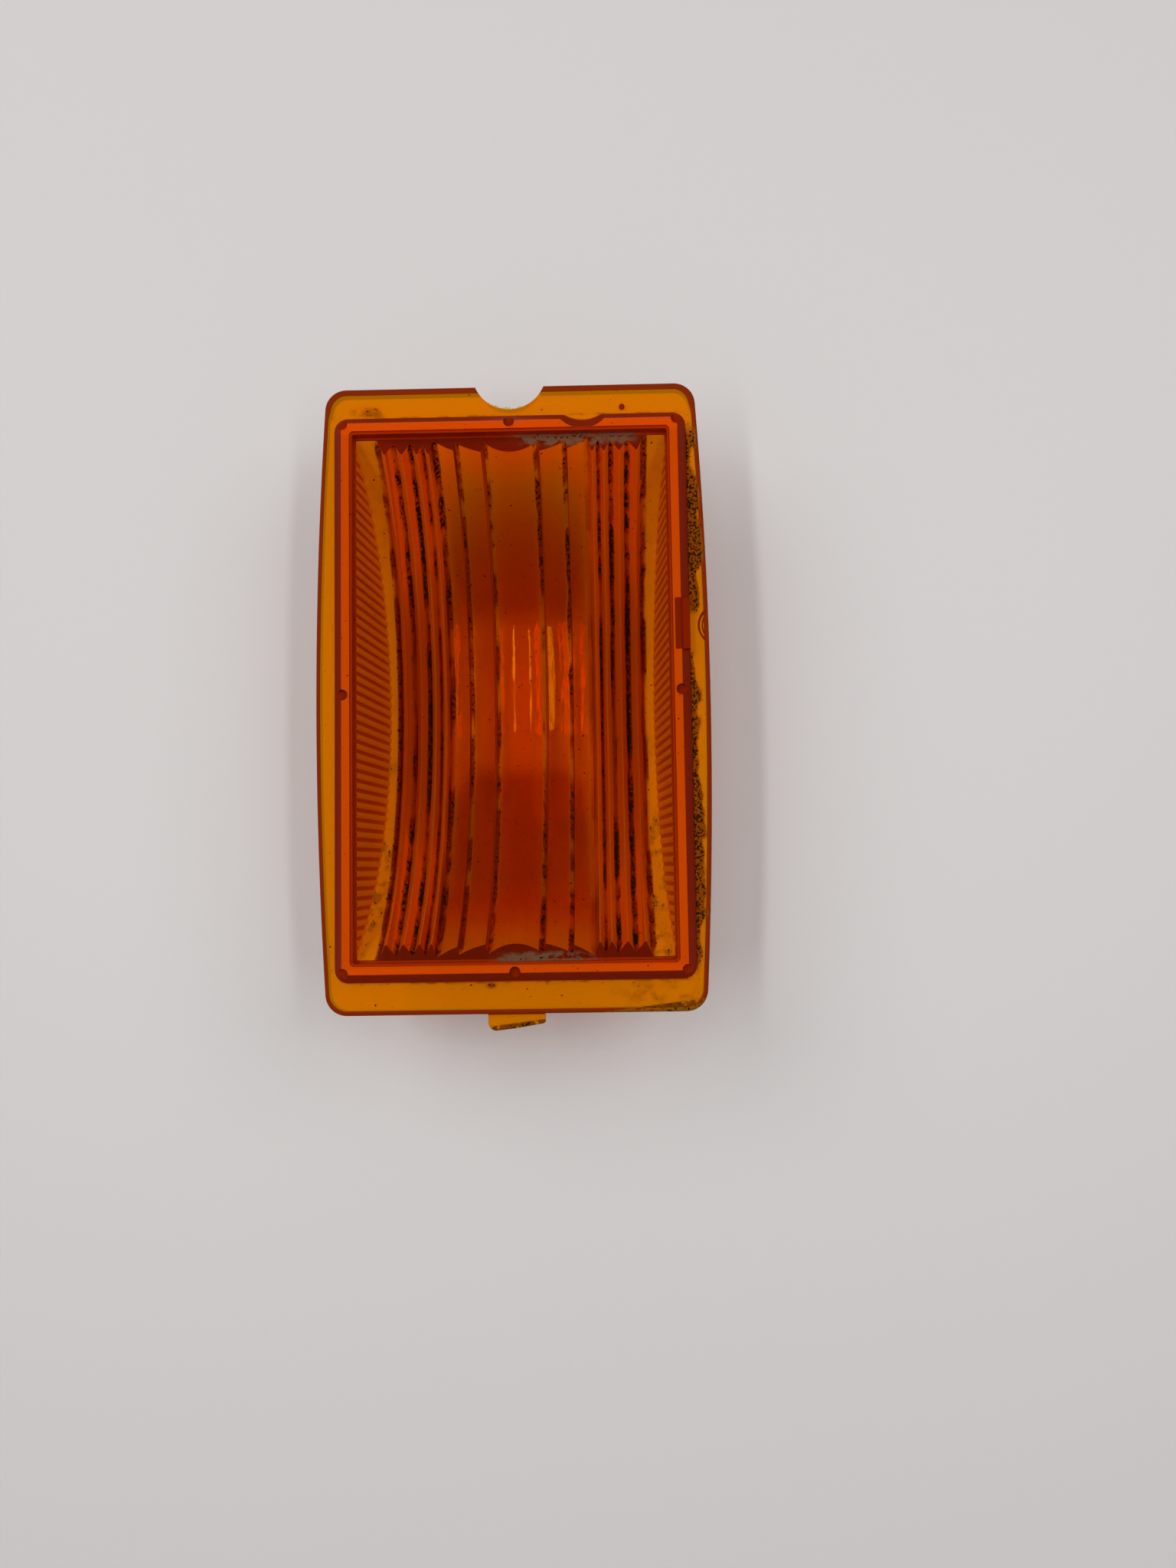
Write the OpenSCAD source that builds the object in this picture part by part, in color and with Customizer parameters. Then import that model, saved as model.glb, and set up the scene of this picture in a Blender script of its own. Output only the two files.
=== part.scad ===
// Amber lens of a turn signal, lying on its arched front with its open back upwards.
// The lens is one injection moulding. Each moulded feature is a solid of its own and meets
// its neighbours face to face, so that walls, optics and fixings can be told apart and reused.
// X runs across the lens, Y along it from the hook tab to the screw notch, Z up to the open back.

/* [Flange] */
// Length of the flange, from end to end
flange_length = 76; // [74:0.5:84]
// Width of the flange at its two ends
flange_end_width = 45; // [44.5:0.1:48]
// How far each long side bows outwards at mid length
flange_bow = 1.25; // [0.5:0.05:2]
// Thickness of the flange
flange_thickness = 2; // [1.6:0.1:2.4]
// Radius of the flange's corners
flange_corner = 2.6; // [1.5:0.1:4]

/* [Seal rib] */
// Outside length of the rib that locates in the lamp's gasket
rib_length = 68.2; // [66:0.1:69]
// Outside width of the rib
rib_width = 42.7; // [42:0.1:43]
// Thickness of the rib
rib_thickness = 2.3; // [2:0.1:2.5]
// Height of the rib above the flange
rib_height = 1.6; // [1:0.1:2.5]
// Radius of the rib's outer corners
rib_corner = 1.6; // [1:0.1:2]
// Width of the slope along the rib's outer top edge
rib_slope_width = 1.1; // [0.8:0.1:1.2]
// Height of that slope
rib_slope_height = 1.3; // [0.8:0.1:1.4]
// Diameter of the ejector marks in the rib's top
ejector_mark_d = 1.3; // [1:0.1:1.6]
// Depth of the ejector marks
ejector_mark_depth = 0.6; // [0.2:0.1:0.8]

/* [Arched front] */
// Depth of the cavity at mid length, below the flange's back face
cavity_depth = 16.7; // [15:0.1:18]
// Thickness of the arched front wall
front_thickness = 2; // [1.8:0.1:2.4]
// How far each side wall leans in from the flange to the floor
side_lean = 1.35; // [1:0.05:1.6]
// Width of the flat ledge between the arch and the rib at each end
end_ledge = 0.3; // [0:0.1:0.6]

/* [Optics] */
// Height of the grooves between the strips of the optics, above the plain floor
groove_height = 0.4; // [0.2:0.05:0.5]
// Half width of the wide cylinder lens down the middle
centre_half_width = 3.2; // [2.8:0.1:3.4]
// Crown of the cylinder lens above the grooves
centre_crown = 1; // [0.6:0.1:1.4]
// Outer edge of the inner stepped facets, from the centre line
inner_facet_edge = 6.75; // [6:0.05:7.5]
// Outer edge of the outer stepped facets, from the centre line
outer_facet_edge = 9.4; // [9:0.1:9.6]
// Step of the inner facets
inner_facet_step = 0.95; // [0.6:0.05:1.2]
// Step of the outer facets
outer_facet_step = 0.75; // [0.5:0.05:1.2]
// Height of the sharp prisms above the grooves
prism_height = 1.1; // [0.8:0.1:1.4]
// Spacing of the upright flutes along each side wall
flute_pitch = 1.18; // [1:0.02:1.6]
// Depth of the flutes
flute_depth = 0.3; // [0.2:0.05:0.4]

/* [Fixings] */
// Radius of the round notch that clears the retaining screw
notch_radius = 4.5; // [3.5:0.1:5]
// Depth of the notch into the flange
notch_depth = 2.95; // [2:0.05:3.2]
// Width of the hook tab
tab_width = 6.8; // [5:0.1:9]
// How far the tab stands out past the flange, at its long side
tab_reach = 2; // [1.5:0.1:4]
// Thickness of the tab
tab_thickness = 1.2; // [0.8:0.1:1.5]

/* [Hidden] */
$fn = 96;
AMBER = [1.0, 0.45, 0.05];
DEEP_AMBER = [0.9, 0.25, 0.02];
PALE_AMBER = [1.0, 0.6, 0.15];
far = 100;

// Heights above the lowest line of the arched front
back_z = front_thickness + cavity_depth;
flange_front_z = back_z - flange_thickness;
rib_top_z = back_z + rib_height;

// The front is part of a tube that lies along X, with its axis above the lens
cavity_half_length = rib_length / 2 - rib_thickness;
cavity_half_width = rib_width / 2 - rib_thickness;
arch_half_length = cavity_half_length - end_ledge;
floor_radius = (pow(arch_half_length, 2) + pow(cavity_depth, 2)) / (2 * cavity_depth);
skin_radius = floor_radius + front_thickness;
arch_z = skin_radius;
arch_half_angle = acos((arch_z - back_z) / skin_radius) + 4;
lean_angle = atan(side_lean / cavity_depth);

// Each strip's ridge stands this far past its inner edge
inner_facet_riser = 0.4;
outer_facet_riser = 0.2;
outer_facet_toe = 0.1;

// Groove lines and ridge lines of the sharp prisms, from the centre line outwards
prism_grooves = [outer_facet_edge, 10.7, 12.2, 14.2, 16.2];
prism_ridges = [10, 11.4, 13.3, 15.4];

// The flutes are cut in a thin lining of each side wall
lining = 0.2;

// A scoop is cut from the rib near the notch, and the gate was trimmed off its right side
scoop_x = 8.9;
scoop_radius = 3.1;
scoop_depth = 1.9;
gate_y = 7.9;
gate_scar_length = 6.1;
gate_scar_width = 1.3;
gate_mark_radius = 1.8;
shallow = 0.2;

// Puts the origin half way between the notched end and the tab's tip
origin_shift = [0, tab_reach / 2, 0];

// Outline of the flange: two straight ends, two bowed sides and four round corners
module flange_outline() {
    bow_r = (pow(flange_length / 2, 2) + pow(flange_bow, 2)) / (2 * flange_bow);
    bow_x = flange_end_width / 2 + flange_bow - bow_r;
    corner_y = flange_length / 2 - flange_corner;
    corner_x = bow_x + sqrt(pow(bow_r - flange_corner, 2) - pow(corner_y, 2));
    side_turn = asin(corner_y / (bow_r - flange_corner));
    side = [for (i = [0 : 11]) let (a = side_turn * i / 12)
        [bow_x + bow_r * cos(a), bow_r * sin(a)]];
    corner = [for (i = [0 : 12]) let (a = side_turn + (90 - side_turn) * i / 12)
        [corner_x + flange_corner * cos(a), corner_y + flange_corner * sin(a)]];
    quarter = concat(side, corner);
    last = len(quarter) - 1;
    polygon(concat(
        quarter,
        [for (i = [last : -1 : 0]) [-quarter[i].x, quarter[i].y]],
        [for (i = [1 : last]) [-quarter[i].x, -quarter[i].y]],
        [for (i = [last : -1 : 1]) [quarter[i].x, -quarter[i].y]]
    ));
}

// A rectangle with round corners, drawn from bars and circles so that its corners stay true arcs
module round_rectangle(width, length, radius) {
    square([width - 2 * radius, length], center = true);
    square([width, length - 2 * radius], center = true);
    for (x = [-1, 1], y = [-1, 1])
        translate([x * (width / 2 - radius), y * (length / 2 - radius)])
            circle(radius);
}

// Everything below the flange's back face
module below_back() {
    translate([-far / 2, -far / 2, -1])
        cube([far, far, back_z + 1]);
}

// Turns a profile of [radius, x] points about the arch's axis, up to the flange's back face
module along_arch(points) {
    intersection() {
        translate([0, 0, arch_z])
            rotate([0, 90, 0])
                rotate([0, 0, -arch_half_angle])
                    rotate_extrude(angle = 2 * arch_half_angle)
                        polygon(points);
        below_back();
    }
}

// The space inside the arch, down to the given radius
module inside_arch(radius) {
    translate([0, 0, arch_z])
        rotate([0, 90, 0])
            cylinder(h = far, r = radius, center = true);
}

// A bar along Y with a profile of [x, z] points
module bar_along_y(points, length) {
    rotate([90, 0, 0])
        linear_extrude(length, center = true)
            polygon(points);
}

// The column that the rib's outline makes
module rib_column() {
    translate([0, 0, -1])
        linear_extrude(far)
            round_rectangle(rib_width, rib_length, rib_corner);
}

// Everything between the outer faces, which are upright in the flange and lean in below it
module between_outer_faces() {
    top_x = rib_width / 2;
    foot_x = top_x - flange_front_z * tan(lean_angle);
    bar_along_y([
        [-foot_x, 0], [foot_x, 0], [top_x, flange_front_z],
        [top_x, back_z], [-top_x, back_z], [-top_x, flange_front_z]
    ], far);
}

module mounting_flange() {
    color(PALE_AMBER)
    difference() {
        translate([0, 0, flange_front_z])
            linear_extrude(flange_thickness)
                difference() {
                    flange_outline();
                    round_rectangle(rib_width, rib_length, rib_corner);
                    translate([0, flange_length / 2 + notch_radius - notch_depth])
                        circle(notch_radius);
                }
        translate([flange_end_width / 2 + flange_bow, gate_y, back_z - shallow])
            cylinder(h = 1, r = gate_mark_radius);
    }
}

// What the slope takes off one long side of the rib, or off one end when half is the rib's half length
module edge_slope(half) {
    past = 1.1;
    bar_along_y([
        [half - rib_slope_width, rib_top_z],
        [half + (past - 1) * rib_slope_width, rib_top_z - past * rib_slope_height],
        [half + 2, rib_top_z - past * rib_slope_height],
        [half + 2, rib_top_z + 1], [half - rib_slope_width, rib_top_z + 1]
    ], far);
}

// The slope runs all round the rib, except at the gate on its right side
module rib_slopes() {
    rotate([0, 0, 180]) edge_slope(rib_width / 2);
    rotate([0, 0, 90]) edge_slope(rib_length / 2);
    rotate([0, 0, -90]) edge_slope(rib_length / 2);
    difference() {
        edge_slope(rib_width / 2);
        translate([0, gate_y - gate_scar_length / 2, 0])
            cube([far, gate_scar_length, far]);
    }
}

module seal_rib() {
    mark_x = (rib_width - rib_thickness) / 2;
    mark_y = (rib_length - rib_thickness) / 2;
    color(AMBER)
    difference() {
        translate([0, 0, back_z])
            linear_extrude(rib_height)
                difference() {
                    round_rectangle(rib_width, rib_length, rib_corner);
                    square([2 * cavity_half_width, 2 * cavity_half_length], center = true);
                    translate([scoop_x, rib_length / 2 + scoop_radius - scoop_depth])
                        circle(scoop_radius);
                }
        rib_slopes();
        for (x = [-1, 0, 1], y = [-1, 0, 1])
            if (x != 0 || y != 0)
                translate([x * mark_x, y * mark_y, rib_top_z - ejector_mark_depth])
                    cylinder(h = 1, d = ejector_mark_d);
        translate([rib_width / 2 - gate_scar_width, gate_y - gate_scar_length / 2, rib_top_z - shallow])
            cube([far, gate_scar_length, 1]);
    }
}

// Fills the flange between the arch's end and the rib's outline; end is 1 at the notch, -1 at the tab
module end_web(end) {
    color(AMBER)
    difference() {
        intersection() {
            rib_column();
            translate([-far / 2, end > 0 ? 0 : -far, flange_front_z])
                cube([far, far, flange_thickness]);
        }
        inside_arch(skin_radius);
    }
}

module front_shell() {
    half = rib_width / 2;
    color(AMBER)
    intersection() {
        along_arch([
            [floor_radius, -half], [skin_radius, -half], [skin_radius, half], [floor_radius, half]
        ]);
        between_outer_faces();
        rib_column();
    }
}

// Side is -1 for the left wall and 1 for the right one
module side_wall(side) {
    wall_x = cavity_half_width + lining;
    color(AMBER)
    intersection() {
        bar_along_y([
            [side * wall_x, back_z], [side * (wall_x - back_z * tan(lean_angle)), 0],
            [side * far, 0], [side * far, back_z]
        ], 2 * arch_half_length);
        between_outer_faces();
        inside_arch(floor_radius);
    }
}

// A lining with a zigzag face, whose ridges run down the wall
module wall_flutes(side) {
    count = floor(arch_half_length / flute_pitch);
    end = (count + 0.5) * flute_pitch;
    zigzag = [for (i = [-2 * count - 1 : 2 * count + 1])
        [i % 2 == 0 ? -side * flute_depth : 0, i * flute_pitch / 2]];
    color(DEEP_AMBER)
    intersection() {
        translate([side * cavity_half_width, 0, back_z])
            rotate([0, side * lean_angle, 0])
                translate([0, 0, -far / 2])
                    linear_extrude(far)
                        polygon(concat(
                            zigzag,
                            [[side * lining * cos(lean_angle), end], [side * lining * cos(lean_angle), -end]]
                        ));
        inside_arch(floor_radius);
        below_back();
    }
}

// The crown's profile is an arc, on a base as high as the grooves
module centre_cylinder_lens() {
    steps = 12;
    crown_radius = (pow(centre_half_width, 2) + pow(centre_crown, 2)) / (2 * centre_crown);
    crown_turn = asin(centre_half_width / crown_radius);
    top_radius = floor_radius - groove_height - centre_crown;
    crown = [for (i = [-steps : steps]) let (a = crown_turn * i / steps)
        [top_radius + crown_radius * (1 - cos(a)), crown_radius * sin(a)]];
    color(AMBER)
    along_arch(concat(
        [[floor_radius, -centre_half_width]], crown, [[floor_radius, centre_half_width]]
    ));
}

// A strip with one ridge between two grooves; its heights are measured up from the plain floor
module strip(side, x_values, heights) {
    inner = side * x_values[0];
    ridge = side * x_values[1];
    outer = side * x_values[2];
    along_arch([
        [floor_radius, inner], [floor_radius - heights[0], inner], [floor_radius - heights[1], ridge],
        [floor_radius - heights[2], outer], [floor_radius, outer]
    ]);
}

module inner_facet(side) {
    color(AMBER)
    strip(side,
        [centre_half_width, centre_half_width + inner_facet_riser, inner_facet_edge],
        [groove_height, groove_height + inner_facet_step, groove_height]);
}

module outer_facet(side) {
    color(AMBER)
    strip(side,
        [inner_facet_edge, inner_facet_edge + outer_facet_riser, outer_facet_edge],
        [groove_height, groove_height + outer_facet_step, outer_facet_toe]);
}

module prism(side, i) {
    first_height = i == 0 ? outer_facet_toe : groove_height;
    last_height = i == 3 ? outer_facet_toe : groove_height;
    color(DEEP_AMBER)
    strip(side,
        [prism_grooves[i], prism_ridges[i], prism_grooves[i + 1]],
        [first_height, groove_height + prism_height, last_height]);
}

// The tab stands out from the flange's plain end, flush with its front, and its tip slants
module hook_tab() {
    corner = 1;
    short_reach = 0.58 * tab_reach;
    color(PALE_AMBER)
    translate([0, -flange_length / 2, flange_front_z])
        linear_extrude(tab_thickness) {
            translate([corner - tab_width / 2, corner - tab_reach])
                intersection() {
                    circle(corner);
                    translate([-corner, -corner])
                        square(corner);
                }
            polygon([
                [-tab_width / 2, 0], [-tab_width / 2, corner - tab_reach],
                [corner - tab_width / 2, corner - tab_reach], [corner - tab_width / 2, -tab_reach],
                [tab_width / 2, -short_reach], [tab_width / 2, 0]
            ]);
        }
}

translate(origin_shift) {
    mounting_flange();
    seal_rib();
    end_web(1);  // upper_end_web
    end_web(-1);  // lower_end_web
    front_shell();
    side_wall(-1);  // left_side_wall
    side_wall(1);  // right_side_wall
    wall_flutes(-1);  // left_wall_flutes
    wall_flutes(1);  // right_wall_flutes
    centre_cylinder_lens();
    inner_facet(-1);  // left_inner_facet
    inner_facet(1);  // right_inner_facet
    outer_facet(-1);  // left_outer_facet
    outer_facet(1);  // right_outer_facet
    for (i = [0 : 3]) {
        prism(-1, i);
        prism(1, i);
    }
    hook_tab();
}
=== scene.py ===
"""Looks of the amber turn signal lens.

It is one clear moulding that lies on its arched front, with dirt in its grooves.
"""
import math

import bmesh
import bpy
import numpy as np
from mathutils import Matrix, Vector


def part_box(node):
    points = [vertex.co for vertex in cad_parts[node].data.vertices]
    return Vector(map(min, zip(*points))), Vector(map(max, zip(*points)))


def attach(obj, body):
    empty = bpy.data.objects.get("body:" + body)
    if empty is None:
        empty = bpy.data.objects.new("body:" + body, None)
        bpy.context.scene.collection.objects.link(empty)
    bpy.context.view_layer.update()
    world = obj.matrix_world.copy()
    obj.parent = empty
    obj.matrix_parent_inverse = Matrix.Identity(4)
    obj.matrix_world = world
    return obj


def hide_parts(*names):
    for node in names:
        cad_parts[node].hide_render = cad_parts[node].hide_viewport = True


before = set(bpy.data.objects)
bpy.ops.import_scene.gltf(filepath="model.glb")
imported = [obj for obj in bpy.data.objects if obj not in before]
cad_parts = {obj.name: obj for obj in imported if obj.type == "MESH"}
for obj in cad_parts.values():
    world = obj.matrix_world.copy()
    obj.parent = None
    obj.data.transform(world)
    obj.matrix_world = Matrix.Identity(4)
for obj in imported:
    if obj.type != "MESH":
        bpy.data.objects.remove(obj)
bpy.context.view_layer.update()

# ---------------------------------------------------------------- sizes, in millimetres
# The lens is built in its own place: the middle of the flange at x = y = 0, the floor at z = 0.
# Whatever the CAD model says is read from it; the rest are the moulding's small details.

MM = 1000.0


def cad_box(node):
    """(lowest, highest) corner of a CAD node, in millimetres, about the middle of the flange."""
    low, high = (np.array(corner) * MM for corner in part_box(node))
    shift = np.array([0.0, FLANGE_MID_Y, 0.0])
    return low - shift, high - shift


FLANGE_MID_Y = sum(corner.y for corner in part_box("mounting_flange")) / 2 * MM
FLANGE_LOW, FLANGE_HIGH = cad_box("mounting_flange")
RIB_LOW, RIB_HIGH = cad_box("seal_rib")
TAB_LOW, TAB_HIGH = cad_box("hook_tab")
WALL_LOW, WALL_HIGH = cad_box("right_side_wall")

FRONT_Z = FLANGE_LOW[2]
BACK_Z = RIB_LOW[2]
RIB_TOP_Z = RIB_HIGH[2]
FLANGE_END_HALF_WIDTH = 22.5
FLANGE_CORNER = 2.6
TAB_CORNER = 1.0
RIB_CORNER = 1.6
RIB_THICKNESS = 2.3
CAVITY_HALF_WIDTH = RIB_HIGH[0] - RIB_THICKNESS
CAVITY_HALF_LENGTH = RIB_HIGH[1] - RIB_THICKNESS

# How far the side walls lean in for each millimetre that they go down
LEAN = 1.35 / 16.7

# The arched front is part of a tube along X. The inner floor meets the flange's back at ARCH_HALF_LENGTH.
ARCH_HALF_LENGTH = WALL_HIGH[1]
SKIN = WALL_LOW[2]
DEPTH = BACK_Z - SKIN
FLOOR_RADIUS = (ARCH_HALF_LENGTH**2 + DEPTH**2) / (2 * DEPTH)
SKIN_RADIUS = FLOOR_RADIUS + SKIN
ARCH_Z = SKIN_RADIUS

# The solids swept round the arch turn this far each way from its foot, which is past the flange at both ends
ARCH_HALF_TURN = math.radians(64)

# ... and their inner radii lie above the flange, where each solid is cut off
OUTER_CORE_RADIUS = 12.0
CAVITY_CORE_RADIUS = 8.0

# Optics, across the lens: groove lines come from the CAD strips, ridges stand between them
CENTRE_EDGE = cad_box("centre_cylinder_lens")[1][0]
INNER_EDGE = cad_box("right_inner_facet")[1][0]
OUTER_EDGE = cad_box("right_outer_facet")[1][0]
PRISM_GROOVES = [cad_box(f"right_prism_{i}")[1][0] for i in (1, 2, 3, 4)]
PRISM_RIDGES = [10.0, 11.4, 13.3, 15.4]
GROOVE_HEIGHT = 0.4
TOE_HEIGHT = 0.1
CENTRE_CROWN = 1.0
INNER_STEP = 0.95
OUTER_STEP = 0.75
PRISM_HEIGHT = 1.1
RIDGE_TIP = 0.07
INNER_RISER = 0.4
OUTER_RISER = 0.2
FACET_CROWN = 0.1
FLUTE_PITCH = 1.18
FLUTE_DEPTH = 0.16
FLUTE_STEPS = 8

# Roundings of the moulding's edges. The rib's outer top edge slopes down over half of its thickness.
FLANGE_ROUND = 0.45
RIB_ROOT = 0.2
RIB_SLOPE = (1.1, 1.3)
RIB_INNER_ROUND = 0.3
SKIN_ROUND = 0.8

# Notch, scoop, ejector marks and gate. A scoop level is (radius, depth of its cut into the rib).
NOTCH_RADIUS = 4.5
NOTCH_DEPTH = 2.95
NOTCH_Y = FLANGE_HIGH[1] + NOTCH_RADIUS - NOTCH_DEPTH
SCOOP_X = 8.9
SCOOP_FOOT = (4.2, 0.45)
SCOOP_TOP = (3.6, 2.27)
MARK_RADIUS = 0.65
MARK_DEPTH = 0.6
GATE_Y = 7.9
GATE_LENGTH = 6.1
GATE_WIDTH = 1.3
GATE_MARK_X = FLANGE_HIGH[0] + 1.1
GATE_MARK_RADIUS = 2.35
SHALLOW = 0.2
PIMPLE = (13.7, 35.0)
PIMPLE_RADIUS = 0.35
PIMPLE_HEIGHT = 0.25

# The flash in the notch: its reach, the part of the notch that it lines, and how far it is
# below the flange's back
FLASH_DEPTH = 0.35
FLASH_TURN = (math.radians(-128), math.radians(-62))
FLASH_BELOW = (0.35, 0.2)

# How far a solid reaches into the next one before they are joined
OVERLAP = 0.1


# ---------------------------------------------------------------- mesh helpers

def mesh_object(name, points, faces):
    """An object from points and faces, with its normals outwards."""
    mesh = bpy.data.meshes.new(name)
    mesh.from_pydata([tuple(p) for p in np.asarray(points, float)], [], faces)
    tidy = bmesh.new()
    tidy.from_mesh(mesh)
    bmesh.ops.recalc_face_normals(tidy, faces=tidy.faces)
    tidy.to_mesh(mesh)
    tidy.free()
    thing = bpy.data.objects.new(name, mesh)
    bpy.context.scene.collection.objects.link(thing)
    return thing


def loft(name, loops):
    """A closed solid through a stack of closed loops, each with as many points as the next."""
    loops = [np.asarray(loop, float) for loop in loops]
    count = len(loops[0])
    faces = [list(range(count))[::-1]]
    for i in range(len(loops) - 1):
        a, b = i * count, (i + 1) * count
        faces += [(a + k, a + (k + 1) % count, b + (k + 1) % count, b + k) for k in range(count)]
    faces.append(list(range((len(loops) - 1) * count, len(loops) * count)))
    return mesh_object(name, np.concatenate(loops), faces)


def at_height(outline, z):
    """A flat outline as a loop of points at height z."""
    outline = np.asarray(outline, float)
    return np.column_stack([outline, np.full(len(outline), z)])


def circle(centre, radius):
    """A round outline."""
    turn = np.linspace(0, 2 * math.pi, 96, endpoint=False)
    return np.column_stack([centre[0] + radius * np.cos(turn), centre[1] + radius * np.sin(turn)])


def cylinder(name, centre, radius, low, high):
    ring = circle(centre, radius)
    return loft(name, [at_height(ring, low), at_height(ring, high)])


def block(name, low, high):
    ring = [(low[0], low[1]), (high[0], low[1]), (high[0], high[1]), (low[0], high[1])]
    return loft(name, [at_height(ring, low[2]), at_height(ring, high[2])])


def combine(body, others, operation):
    """Adds, cuts or intersects body with each of the others, which are used up."""
    for other in others:
        step = body.modifiers.new("step", "BOOLEAN")
        step.operation = operation
        step.solver = "MANIFOLD"
        step.object = other
        made = bpy.data.meshes.new_from_object(
            body.evaluated_get(bpy.context.evaluated_depsgraph_get())
        )
        body.modifiers.clear()
        old = body.data
        body.data = made
        bpy.data.meshes.remove(old)
        bpy.data.objects.remove(other)
    return body


# ---------------------------------------------------------------- outlines

def arc(centre, radius, start, end, steps):
    """Points on an arc, its angles in radians."""
    turn = np.linspace(start, end, steps)
    return [(centre[0] + radius * math.cos(a), centre[1] + radius * math.sin(a)) for a in turn]


def four_quarters(quarter):
    """A closed outline from its quarter in +x, +y, which runs anticlockwise."""
    back = quarter[::-1]
    return (
        list(quarter)
        + [(-x, y) for x, y in back]
        + [(-x, -y) for x, y in quarter]
        + [(x, -y) for x, y in back]
    )


def flange_outline(inset):
    """Two straight ends, two sides that bow outwards and four round corners."""
    half_length = FLANGE_HIGH[1]
    bow = FLANGE_HIGH[0] - FLANGE_END_HALF_WIDTH
    bow_radius = (half_length**2 + bow**2) / (2 * bow)
    bow_x = FLANGE_HIGH[0] - bow_radius
    corner_y = half_length - FLANGE_CORNER
    corner_x = bow_x + math.sqrt((bow_radius - FLANGE_CORNER) ** 2 - corner_y**2)
    turn = math.asin(corner_y / (bow_radius - FLANGE_CORNER))
    side = arc((bow_x, 0), bow_radius - inset, turn / 40, turn, 20)
    corner = arc((corner_x, corner_y), FLANGE_CORNER - inset, turn, math.pi / 2, 14)
    return four_quarters(side[:-1] + corner)


def round_rectangle(half_x, half_y, radius):
    centre = (half_x - radius, half_y - radius)
    return four_quarters(arc(centre, radius, 0, math.pi / 2, 9))


def edge_rounding(radius, steps=5):
    """(inset, height below the top) pairs that round an outer top edge, from its side to its top."""
    turn = np.linspace(0, math.pi / 2, steps)
    return [(radius * (1 - math.cos(a)), radius * (1 - math.sin(a))) for a in turn]


# ---------------------------------------------------------------- the moulding's solids

def flange_plate():
    rounding = edge_rounding(FLANGE_ROUND)
    bottom = [at_height(flange_outline(inset), FRONT_Z + drop) for inset, drop in rounding[::-1]]
    top = [at_height(flange_outline(inset), BACK_Z - drop) for inset, drop in rounding]
    return loft("flange_plate", bottom + top)


def rib_block():
    """The rib as a full block: its inside is cut out with the cavity. A small cove joins it to the flange."""
    half_x, half_y = RIB_HIGH[0], RIB_HIGH[1]
    levels = [(-RIB_ROOT, BACK_Z - 0.5)]
    levels += [(-RIB_ROOT * (1 - math.sin(a)), BACK_Z + RIB_ROOT * (1 - math.cos(a)))
               for a in np.linspace(0, math.pi / 2, 5)]
    across, down = RIB_SLOPE
    slope = [(0, 1), (0.05, 0.9), (0.85, 0.1), (1, 0)]
    levels += [(across * inset, RIB_TOP_Z - down * drop) for inset, drop in slope]
    return loft("rib_block", [
        at_height(round_rectangle(half_x - inset, half_y - inset, RIB_CORNER - inset), z)
        for inset, z in levels
    ])


def sector(name, section, steps):
    """A solid swept round the arch's axis. section(turn) gives a closed loop of (radius, x) points."""
    loops = []
    for turn in np.linspace(-ARCH_HALF_TURN, ARCH_HALF_TURN, steps):
        loops.append([
            (x, radius * math.sin(turn), ARCH_Z - radius * math.cos(turn))
            for radius, x in section(turn)
        ])
    return loft(name, loops)


def outer_body():
    """The arched front and the side walls as one full body up to the middle of the flange."""
    top_z = (FRONT_Z + BACK_Z) / 2

    def section(turn):
        def side_x(radius):
            return RIB_HIGH[0] - (FRONT_Z - (ARCH_Z - radius * math.cos(turn))) * LEAN

        right = [(OUTER_CORE_RADIUS, side_x(OUTER_CORE_RADIUS))]
        for inset, drop in edge_rounding(SKIN_ROUND, 7):
            radius = SKIN_RADIUS - drop
            right.append((radius, side_x(radius) - inset))
        flat = [(SKIN_RADIUS, x) for x in np.linspace(right[-1][1], -right[-1][1], 9)[1:-1]]
        return right + flat + [(radius, -x) for radius, x in right[::-1]]

    body = sector("outer_body", section, 129)
    keep = block("keep", (-30, -45, -5), (30, 45, top_z))
    return combine(body, [keep], "INTERSECT")


def ridge_profile():
    """(x, height above the plain floor) of the optics, from the centre line to the right wall."""
    crown_radius = (CENTRE_EDGE**2 + CENTRE_CROWN**2) / (2 * CENTRE_CROWN)
    points = [
        (x, GROOVE_HEIGHT + CENTRE_CROWN - crown_radius + math.sqrt(crown_radius**2 - x * x))
        for x in np.linspace(0, CENTRE_EDGE, 13)
    ]
    points += facet(CENTRE_EDGE, INNER_RISER, INNER_EDGE, INNER_STEP, GROOVE_HEIGHT)
    points += facet(INNER_EDGE, OUTER_RISER, OUTER_EDGE, OUTER_STEP, TOE_HEIGHT)
    for i, (ridge, groove) in enumerate(zip(PRISM_RIDGES, PRISM_GROOVES)):
        top = GROOVE_HEIGHT + PRISM_HEIGHT
        points += [(ridge - RIDGE_TIP, top - RIDGE_TIP), (ridge + RIDGE_TIP, top - RIDGE_TIP)]
        points.append((groove, TOE_HEIGHT if i == 3 else GROOVE_HEIGHT))
    points += [(PRISM_GROOVES[-1] + 0.1, 0.0), (CAVITY_HALF_WIDTH + 3, 0.0)]
    return points


def facet(inner, riser, outer, step, end_height):
    """A stepped strip: a steep riser past its inner edge, then a crowned slope down to its outer edge."""
    start, top = inner + riser, GROOVE_HEIGHT + step
    slope = []
    for share in np.linspace(0, 1, 7):
        crown = FACET_CROWN * 4 * share * (1 - share)
        slope.append((start + (outer - start) * share, top + (end_height - top) * share + crown))
    return slope


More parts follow.
